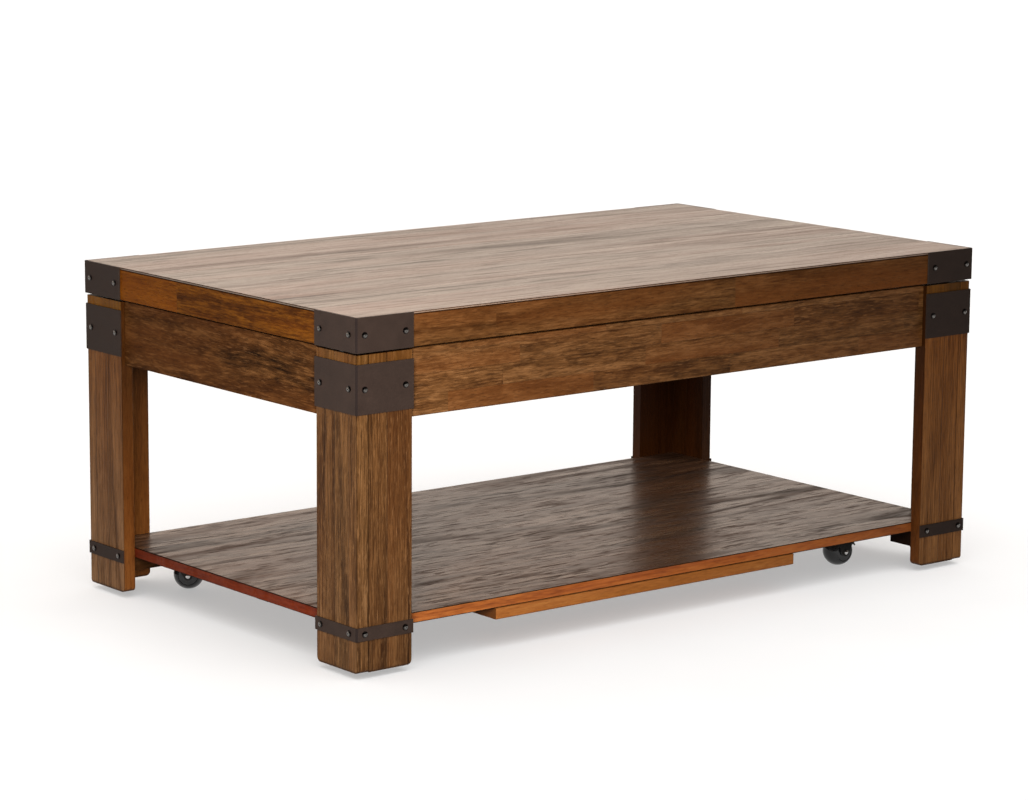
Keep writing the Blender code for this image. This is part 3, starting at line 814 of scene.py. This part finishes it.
def dress_box():
    """The rims of the top and the aprons under them: the long aprons are finger-jointed, the end ones
    plain. The compartment's floor lies between them."""
    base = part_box("apron_front")[0].z
    staves = [base + APRON_STAVE * number for number in range(1, APRON_STAVES)]
    for name, grain in (("front", "X"), ("back", "X"), ("left", "Y"), ("right", "Y")):
        palette = BROWN if grain == "X" else HONEY
        rim = wood("rim_wood_" + name, grain, "Z", palette, **RIM_LOOK)
        edge = wood("rim_edge_" + name, grain, "Z", palette, shade=0.45, **RIM_LOOK)
        dress("top_rim_" + name, rim, edge, EASE_RIM)
        look, strips = (APRON_LOOK, staves) if grain == "X" else (END_APRON_LOOK, ())
        apron = wood("apron_wood_" + name, grain, "Z", BROWN, strips=strips, **look)
        edge = wood("apron_edge_" + name, grain, "Z", BROWN, shade=0.5, strips=strips, **look)
        dress("apron_" + name, apron, edge, EASE_APRON)
    board = wood("compartment_board", "X", "Y", BOARD, **COMPARTMENT_LOOK)
    dress("compartment_floor", board, None, EASE_FLOOR)


def dress_legs():
    """Legs glued up from strips: each has an end board and a side board."""
    low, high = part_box("leg_end_board_front_right")
    boards = (("end", "Y", "X", -low.y, END_BOARD_LIFT), ("side", "X", "Y", high.x, 0.0))
    for corner, changes in LEG_LOOKS.items():
        for part, stack, outward, face, lift in boards:
            look = {**WOOD_LOOK, **LEG_LOOK, **changes}
            look["tone"] += lift
            board, edge = [
                leg_wood(f"leg_{part}_{kind}_{corner}", stack, outward, face, shade, low.z, look)
                for kind, shade in (("wood", 1.0), ("edge", 0.4))
            ]
            dress(f"leg_{part}_board_{corner}", board, edge, EASE_LEG, 3)


def leg_wood(name, stack, outward, face, shade, foot, look):
    """Streaky staves on a leg's outer faces and plain golden wood inside, both paler towards the foot with
    painted light from the floor, with painted shade on the hollow side and along the foot.
    """
    tree = material_tree(name)
    outer, rough, height = timber(tree, "Z", stack, STAVES, look, LEG_STRIPS, face)
    plain = {**WOOD_LOOK, **LEG_INNER_LOOK, "seed": look["seed"] + LEG_INNER_SEED}
    inner = timber(tree, "Z", stack, GOLD, plain)[0]
    parts = tree.place()
    # Painted light from the floor: the inner faces are lighter near the foot and darker higher up.
    inner_floor_light = tree.remap(parts[2], foot, foot + INNER_FLOOR_LIGHT, 1.15, 0.36)
    inner = tree.tinted(inner, tree.vector(inner_floor_light, inner_floor_light, inner_floor_light))
    # Painted light from the floor on the outer faces: paler near the foot, more golden higher up.
    pale, gilt = [tuple(1.0 + part for part in shaded(tint, look["fade"])) for tint in (LEG_PALE, LEG_GILT)]
    floor_light = tree.mix(tree.remap(parts[2], *[foot + level for level in FLOOR_LIGHT_ENDS]), pale, gilt)
    outer = tree.tinted(tree.tinted(outer, floor_light), look["hue"])
    crown = tree.times(tree.math("GREATER_THAN", parts[2], foot + CROWN), look["crown"])
    outer = tree.mix(crown, outer, tree.tinted(inner, CROWN_GILT))
    # Painted shade on the hollow side of each leg, darkest at the back right.
    inner = tree.tinted(inner, (look["hollow_shade"],) * 3)
    colour = tree.mix(outer_side(tree, parts, AXES[outward]), inner, outer)
    # Painted shade: a dark band along the bottom of each leg.
    foot_shade = tree.remap(parts[2], *[foot + level for level in FOOT_SHADE], 0.75, 0.0)
    colour = tree.mix(foot_shade, colour, JOINT_AND_SHADE_DARK)
    colour = tree.tinted(colour, shaded(EDGE_SHADE, shade))
    return tree.finish(colour, rough, tree.bump(height, look["relief"]), ior=look["ior"])


def outer_side(tree, parts, axis):
    """1 on the two faces of a leg's board that are turned away from the table, and 0 on the others."""
    outward = tree.outward()
    away = [tree.times(outward[each], tree.math("SIGN", parts[each])) for each in (axis, 1 - axis)]
    return tree.remap(tree.math("MAXIMUM", *away), *TURNED_OUT)


def dress_shelf():
    """The shelf with its battens and corner blocks."""
    # The shelf's eased arris is darkened to a thin dark line: painted shade.
    arris = wood("shelf_arris", "X", "Y", SHELF, shade=0.15, rough=0.7)
    dress("lower_shelf", shelf_wood("shelf_veneer"), arris, EASE_SHELF)
    batten = wood("batten_wood", "X", "Y", OCHRE, **BATTEN_LOOK)
    edge = wood("batten_edge", "X", "Y", OCHRE, shade=0.5, **BATTEN_LOOK)
    dress("shelf_front_batten", batten, edge, EASE_BATTEN)
    # Painted shade: the blocks and batten under the shelf are darkened to about a third.
    block = wood("block_wood", "X", "Y", BROWN, shade=0.35, **BATTEN_LOOK)
    dress("shelf_centre_batten", block, None, EASE_BATTEN)
    for corner in CORNERS:
        dress("shelf_block_" + corner, block, None, EASE_BATTEN)


def shelf_wood(name):
    """Coarse veneer on the shelf's faces, and a solid lipping with its own colour round its edges."""
    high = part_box("lower_shelf")[1]
    tree = material_tree(name)
    look = {**WOOD_LOOK, **SHELF_LOOK}
    veneer, rough, height = timber(tree, "X", "Y", SHELF, look)
    front = timber(tree, "X", "Z", ORANGE, {**WOOD_LOOK, **LIPPING_LOOK})[0]
    end = timber(tree, "Y", "Z", ORANGE, {**WOOD_LOOK, **END_LIPPING_LOOK})[0]
    out_x, out_y = [
        tree.math("GREATER_THAN", tree.size(part), edge - LIPPING_SKIN)
        for part, edge in zip(tree.place(), high.xy)
    ]
    colour = tree.mix(out_y, tree.mix(out_x, veneer, tree.tinted(end, END_LIPPING)), front)
    rough = tree.total(rough, tree.times(tree.math("MAXIMUM", out_x, out_y), LIPPING_ROUGH))
    return tree.finish(colour, rough, tree.bump(height, look["relief"]), ior=look["ior"])


def dress_steel():
    """The corner angles, bands and straps."""
    edge = powder_coat("dark_steel_edge", DARK_STEEL_EDGE, rough=0.36, wear_and_light=0.02)
    steel = {}
    for kind, name in (("top_angle", "dark_steel_top"), ("leg_band", "dark_steel_leg")):
        low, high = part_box(kind + "_front_right")
        bend = (high.x - STEEL_FOLD, -low.y - STEEL_FOLD)
        steel[kind] = powder_coat(name, DARK_STEEL, bend=bend)
    steel["leg_strap"] = steel["leg_band"]
    for corner in CORNERS:
        for kind, coat in steel.items():
            dress(f"{kind}_{corner}", coat, edge, EASE_STEEL)


def screw_head():
    """A domed head, its axis along +Z and its seat at the origin."""
    profile = [(0.0, SCREW_RISE)]
    for step in range(1, SCREW_STEPS + 1):
        angle = math.radians(90) * step / SCREW_STEPS
        rise = SCREW_RIM + (SCREW_RISE - SCREW_RIM) * math.cos(angle)
        profile.append((SCREW_HEAD * math.sin(angle), rise))
    profile += [(SCREW_HEAD, -SCREW_SINK), (0.0, -SCREW_SINK)]
    return spun("screw_head", [(x, 0, z) for x, z in profile], (0, 0, 1), SCREW_FACETS)


def screw_recess():
    """Two crossed wedges, narrower at the bottom."""
    bm = bmesh.new()
    for turn in (0, 90):
        wedge = bmesh.ops.create_cube(bm, size=1.0)["verts"]
        bmesh.ops.scale(bm, vec=(2 * RECESS_REACH, RECESS_WIDTH, RECESS_DEPTH), verts=wedge)
        for vert in wedge:
            if vert.co.z < 0:
                vert.co.x *= RECESS_TAPER
        bmesh.ops.translate(bm, vec=(0, 0, SCREW_RISE), verts=wedge)
        spin = Matrix.Rotation(math.radians(turn), 3, "Z")
        bmesh.ops.rotate(bm, cent=(0, 0, 0), matrix=spin, verts=wedge)
    return mesh_of(bm, "screw_recess")


def screw_mesh():
    """A domed head with a cross recess. Its crown attribute is 1 at the middle and 0 at the rim."""
    solid = place_object("screw_solid", screw_head())
    cutter = place_object("screw_cutter", screw_recess())
    cut = solid.modifiers.new("recess", "BOOLEAN")
    cut.operation = "DIFFERENCE"
    cut.solver = "EXACT"
    cut.use_self = True
    cut.object = cutter
    made = applied(solid)
    for piece in (solid, cutter):
        bpy.data.objects.remove(piece)
    crown = made.attributes.new("crown", "FLOAT", "POINT")
    for vert, wear_and_light in zip(made.vertices, crown.data):
        wear_and_light.value = max(0.0, 1.0 - math.hypot(vert.co.x, vert.co.y) / SCREW_HEAD)
    return made


def facing(point, outward):
    """The matrix of a screw that is driven in at a point, against its outward direction."""
    turn = Vector(outward).to_track_quat("Z", "Y").to_matrix().to_4x4()
    spin = Matrix.Rotation(random.uniform(0, math.tau), 4, "Z")
    return Matrix.Translation(point) @ turn @ spin


def add_screws(name, shape, places, finish, body):
    """One piece with a screw at each matrix."""
    bm = bmesh.new()
    for matrix in places:
        copy = shape.copy()
        copy.transform(matrix)
        bm.from_mesh(copy)
        bpy.data.meshes.remove(copy)
    add_piece(name, smooth(mesh_of(bm, name)), finish, body)


def add_corner_screws(shape):
    """Two domed screws in each leaf of every angle, band and strap."""
    finish = screw_metal("screw_steel")
    for kind, body in (("top_angle", "lifting_top"), ("leg_band", "base"), ("leg_strap", "base")):
        for corner, (side_x, side_y) in CORNERS.items():
            low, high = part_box(f"{kind}_{corner}")
            outer_x = max(abs(low.x), abs(high.x))
            outer_y = max(abs(low.y), abs(high.y))
            middle = (low.z + high.z) / 2
            places = []
            for inset in SCREWS_LONG:
                point = (side_x * (outer_x - inset), side_y * outer_y, middle)
                places.append(facing(point, (0, side_y, 0)))
            for inset in SCREWS_END:
                point = (side_x * outer_x, side_y * (outer_y - inset), middle)
                places.append(facing(point, (side_x, 0, 0)))
            add_screws(f"{kind}_screws_{corner}", shape, places, finish, body)


def wire(name, points, closed=False):
    """A round wire along some points, as a mesh."""
    curve = bpy.data.curves.new(name, "CURVE")
    curve.dimensions = "3D"
    curve.bevel_depth = WIRE
    curve.bevel_resolution = 2
    curve.use_fill_caps = True
    spline = curve.splines.new("POLY")
    spline.points.add(len(points) - 1)
    for point, place in zip(spline.points, points):
        point.co = (*place, 1.0)
    spline.use_cyclic_u = closed
    holder = place_object(name, curve)
    mesh = applied(holder)
    bpy.data.objects.remove(holder)
    return smooth(mesh, 60)


def spring_path(middle_x, anchor, stud):
    """A straight leg beside the anchor, a coil, and a straight leg beside the stud."""
    line = stud - anchor
    along = line.normalized()
    up = Vector((-along.y, along.x))
    pitch = (line.length - 2 * COIL_NECK) / (COIL_TURNS * COIL_STEPS)
    spots = [(0, HOOK, 0)]
    for step in range(COIL_TURNS * COIL_STEPS + 1):
        angle = math.tau * step / COIL_STEPS
        spots.append((COIL_NECK + pitch * step, COIL * math.cos(angle), COIL * math.sin(angle)))
    spots.append((line.length, HOOK, 0))
    points = []
    for far, high, out in spots:
        flat = anchor + along * far + up * high
        points.append((middle_x + out, flat.x, flat.y))
    return points


def eye_path(middle_x, centre):
    """A ring about a pin."""
    angles = [math.tau * step / EYE_STEPS for step in range(EYE_STEPS)]
    return [
        (middle_x, centre.x + HOOK * math.cos(angle), centre.y + HOOK * math.sin(angle)) for angle in angles
    ]


def add_springs():
    """Springs between an eye on the base plate's anchor and one on the arm's stud; the real springs shorten
    as the arms rise."""
    zinc = bright_metal("zinc_wire", ZINC, 0.28)
    anchor = Vector(joint_named("spring_swing")["pos_m"][1:])
    for side in SIDES:
        node = f"lift_spring_{side}"
        low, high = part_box(node)
        middle = (low.x + high.x) / 2
        hooked = anchor.x - low.y
        stud = Vector((high.y - hooked, low.z + high.z - anchor.y))
        coil = wire(f"spring_{side}", spring_path(middle, anchor, stud))
        piece = add_piece(f"spring_{side}", coil, zinc, "lift_springs", [node])
        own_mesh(piece)
        for end, centre, body in (("base", anchor, "lift_springs"), ("arm", stud, "front_arms")):
            name = f"spring_eye_{end}_{side}"
            eye = wire(name, eye_path(middle, centre), closed=True)
            add_piece(name, eye, zinc, body, [node])


def add_mechanism_screws(shape):
    """Domed screws through each base plate into the end apron, and through each rail into the top."""
    finish = screw_metal("machine_screw_steel")
    anchor = Vector(joint_named("spring_swing")["pos_m"][1:])
    pivot = Vector(joint_named("top_lift")["pos_m"][1:])
    for side, sign in SIDES.items():
        low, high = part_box(f"lift_base_plate_{side}")
        face = sign * max(abs(low.x), abs(high.x)) - sign * BASE_PLATE
        spots = [anchor.lerp(pivot, share) for share in BASE_PLATE_SCREWS]
        places = [facing((face, spot.x, spot.y), (-sign, 0, 0)) for spot in spots]
        add_screws(f"base_plate_screws_{side}", shape, places, finish, "base")
        low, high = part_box(f"lift_top_rail_{side}")
        face = sign * min(abs(low.x), abs(high.x)) + sign * RAIL_SCREW
        spots = [low.y + share * (high.y - low.y) for share in RAIL_SCREWS]
        places = [facing((face, spot, high.z - RAIL_PLATE), (0, 0, -1)) for spot in spots]
        add_screws(f"rail_screws_{side}", shape, places, finish, "lifting_top")


def add_stops():
    """A rubber stop on each leg, which the closed top rests on."""
    rubber = plastic("stop_rubber", RUBBER, 0.5)
    rim = (STOP_RISE * 0.6, STOP_RADIUS)
    profile = [(0, 0), (0, STOP_RADIUS), rim, (STOP_RISE, STOP_RADIUS * 0.8), (STOP_RISE, 0)]
    for corner in CORNERS:
        side_y = CORNERS[corner][1]
        low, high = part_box("leg_end_board_" + corner)
        mesh = turned("stop_" + corner, profile, STOP_FACETS)
        mesh.transform(Matrix.Rotation(math.radians(90), 4, "X"))
        outer_y = side_y * max(abs(low.y), abs(high.y))
        mesh.transform(Matrix.Translation(((low.x + high.x) / 2, outer_y - side_y * STOP_INSET, high.z)))
        add_piece("rubber_stop_" + corner, mesh, rubber, "base")


def dress_mechanism(shape):
    """The lift's plates, arms and rails in satin black, and its bar."""
    black = powder_coat("mechanism_black", MECHANISM_BLACK, rough=0.36)
    edge = powder_coat("mechanism_edge", MECHANISM_EDGE, rough=0.32, wear_and_light=0.02)
    for side in SIDES:
        for part in ("base_plate", "front_arm", "rear_arm", "top_rail"):
            dress(f"lift_{part}_{side}", black, edge, EASE_HARDWARE)
    dress("lift_cross_bar", black, None, EASE_HARDWARE)
    add_springs()
    add_mechanism_screws(shape)
    add_stops()


def ball_profile():
    """A caster ball, seen from the side: a boss, a shallow dish, the tread, and the same again."""
    end = BALL_HALF + BALL_BOSS
    edge = math.asin((BALL_HALF - BALL_CHAMFER) / BALL)
    points = [(-end, 0)] + [(-end + deep, radius) for deep, radius in BALL_DISH]
    for step in range(BALL_STEPS + 1):
        angle = edge * (2 * step / BALL_STEPS - 1)
        points.append((BALL * math.sin(angle), BALL * math.cos(angle)))
    points += [(end - deep, radius) for deep, radius in BALL_DISH[::-1]]
    return points + [(end, 0)]


def axle_profile():
    """The axle, with a domed head at each end."""
    shank = AXLE_END - AXLE_HEAD[-1][0]
    points = [(-AXLE_END + deep, radius) for deep, radius in AXLE_HEAD]
    points += [(-shank, AXLE_RADIUS), (shank, AXLE_RADIUS)]
    return points + [(AXLE_END - deep, radius) for deep, radius in AXLE_HEAD[::-1]]


def dress_casters(shape):
    """Plates and yokes, and in place of each wheel a smooth ball and a bright axle."""
    steel = powder_coat("caster_steel", CASTER_BLACK, rough=0.34)
    dark = screw_metal("plate_screw_steel")
    wheel = (
        ("ball", ball_profile(), plastic("caster_ball", BALL_BLACK, 0.14), "caster_ball"),
        ("axle", axle_profile(), bright_metal("axle_nickel", NICKEL, 0.20), "caster_steel"),
    )
    for corner in CORNERS:
        dress("caster_plate_" + corner, steel, None, EASE_HARDWARE)
        dress("caster_yoke_" + corner, steel, None, EASE_YOKE, 1)
        roll = joint_named("caster_roll_" + corner)
        turn = Vector(roll["axis"]).to_track_quat("Y", "Z").to_matrix().to_4x4()
        stand = Matrix.Translation(roll["pos_m"]) @ turn
        for part, profile, finish, slot in wheel:
            name = f"caster_{part}_{corner}"
            mesh = turned(name, profile)
            mesh.transform(stand)
            add_piece(name, mesh, finish, "caster_wheel_body_" + corner, ["caster_wheel_" + corner])
        add_plate_screws(corner, shape, dark)


def add_plate_screws(corner, shape, finish):
    """A small screw at each corner of a caster's plate."""
    low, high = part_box("caster_plate_" + corner)
    middle = (low + high) / 2
    reach = (high.x - low.x) / 2 - PLATE_SCREW_INSET
    places = []
    for side_x, side_y in CORNERS.values():
        point = (middle.x + side_x * reach, middle.y + side_y * reach, high.z - CASTER_PLATE)
        places.append(facing(point, (0, 0, -1)) @ Matrix.Scale(PLATE_SCREW_SIZE, 4))
    add_screws("caster_plate_screws_" + corner, shape, places, finish, "base")


def paper(name, **constants):
    """Plain matt studio paper, very slightly uneven."""
    tree = material_tree(name)
    grain = tree.noise(tree.vector(*tree.place()), scale=3.0)
    colour = tree.mix(tree.remap(grain, 0.3, 0.7), *PAPER_TONES)
    return tree.finish(colour, PAPER_ROUGH, specular_ior_level=0.0, **constants)


def add_floor():
    """A wide pale floor round the table."""
    bm = bmesh.new()
    bmesh.ops.create_circle(bm, cap_ends=True, segments=FLOOR_FACETS, radius=STAGE_RADIUS)
    floor = place_object("floor", mesh_of(bm, "floor"))
    floor.data.materials.append(paper("floor_paper"))
    return floor


def add_backdrop():
    """A pale dome that closes the view above the floor. It neither lights nor shades anything."""
    bm = bmesh.new()
    bmesh.ops.create_uvsphere(bm, **DOME_FACETS, radius=STAGE_RADIUS)
    dome = place_object("backdrop", mesh_of(bm, "backdrop"))
    glowing = paper("backdrop_paper", emission_color=(1.0, 1.0, 1.0, 1.0), emission_strength=1.0)
    glowing.cycles.emission_sampling = "NONE"
    dome.data.materials.append(glowing)
    for unseen in ("diffuse", "glossy", "transmission", "volume_scatter", "shadow"):
        setattr(dome, "visible_" + unseen, False)


def add_softbox(name, place, target, width, depth, power):
    """A rectangular lamp that faces a point."""
    lamp = bpy.data.lights.new(name, "AREA")
    lamp.shape = "RECTANGLE"
    lamp.size = width
    lamp.size_y = depth
    lamp.energy = power
    holder = place_object(name, lamp)
    holder.location = place
    holder.rotation_euler = (Vector(target) - Vector(place)).to_track_quat("-Z", "Y").to_euler()
    return holder


def add_sun(name, strength, angle, tilt):
    lamp = bpy.data.lights.new(name, "SUN")
    lamp.energy = strength
    lamp.angle = math.radians(angle)
    sun = place_object(name, lamp)
    sun.rotation_euler = [math.radians(part) for part in tilt]
    return sun


def only_on(lamp, floor, keep, shadows=True):
    """Makes a lamp light nothing but the floor, or everything but the floor."""
    group = bpy.data.collections.new(lamp.name + "_receivers")
    group.objects.link(floor)
    lamp.light_linking.receiver_collection = group
    if not keep:
        group.collection_objects[0].light_linking.link_state = "EXCLUDE"
    if not shadows:
        lamp.light_linking.blocker_collection = group


def add_world():
    """A studio that is bright low down behind the table, and dark overhead and in front of it."""
    world = bpy.data.worlds.new("studio")
    tree = Tree(world)
    direction = tree.split(tree.node("ShaderNodeTexCoord").outputs["Generated"])
    back = tree.remap(direction[AXES["Y"]], *SURROUND_BACK, kind="SMOOTHSTEP")
    low = tree.remap(direction[AXES["Z"]], *SURROUND_LOW, kind="SMOOTHSTEP")
    sockets = tree.nodes["Background"].inputs
    tree.feed(sockets["Strength"], tree.remap(tree.times(back, low), 0.0, 1.0, *SURROUND))
    tree.feed(sockets["Color"], SURROUND_COLOUR)
    bpy.context.scene.world = world


def add_light(floor):
    """A box overhead and a smaller one at the front left for the table, two more for its far sides, and a
    wash that keeps the floor white, part of it without shadows, as a deep sweep of paper is lit."""
    add_world()
    overhead = add_softbox("overhead", *OVERHEAD)
    key = add_softbox("front_left", *FRONT_LEFT)
    key.data.spread = math.radians(FRONT_LEFT_SPREAD)
    far = [add_softbox("rear", *REAR), add_softbox("right", *RIGHT)]
    for lamp in (key, *far):
        lamp.visible_glossy = False
    for lamp in (overhead, key, *far):
        only_on(lamp, floor, False)
    only_on(add_sun("floor_wash", *FLOOR_WASH), floor, True)
    only_on(add_sun("floor_fill", *FLOOR_FILL), floor, True, shadows=False)


def add_camera():
    """The viewer stands at the front left, a little above the table."""
    lens = bpy.data.cameras.new("camera")
    lens.lens = LENS
    lens.sensor_width = SENSOR
    lens.shift_x, lens.shift_y = LENS_SHIFT
    lens.clip_end = VIEW_END
    camera = place_object("camera", lens)
    forward = Vector(VIEW).normalized()
    level = Vector((forward.y, -forward.x, 0)).normalized()
    upright = level.cross(forward)
    roll = math.radians(VIEW_ROLL)
    right = math.cos(roll) * level + math.sin(roll) * upright
    up = math.cos(roll) * upright - math.sin(roll) * level
    turn = Matrix((right, up, -forward)).transposed().to_4x4()
    camera.matrix_world = Matrix.Translation(VIEWER) @ turn
    bpy.context.scene.camera = camera


def main():
    random.seed(RANDOM_SEED)
    bpy.context.scene.view_settings.view_transform = "Standard"
    add_camera()
    add_light(add_floor())
    add_backdrop()
    dress_wood()
    dress_steel()
    shape = screw_mesh()
    add_corner_screws(shape)
    dress_mechanism(shape)
    dress_casters(shape)


main()
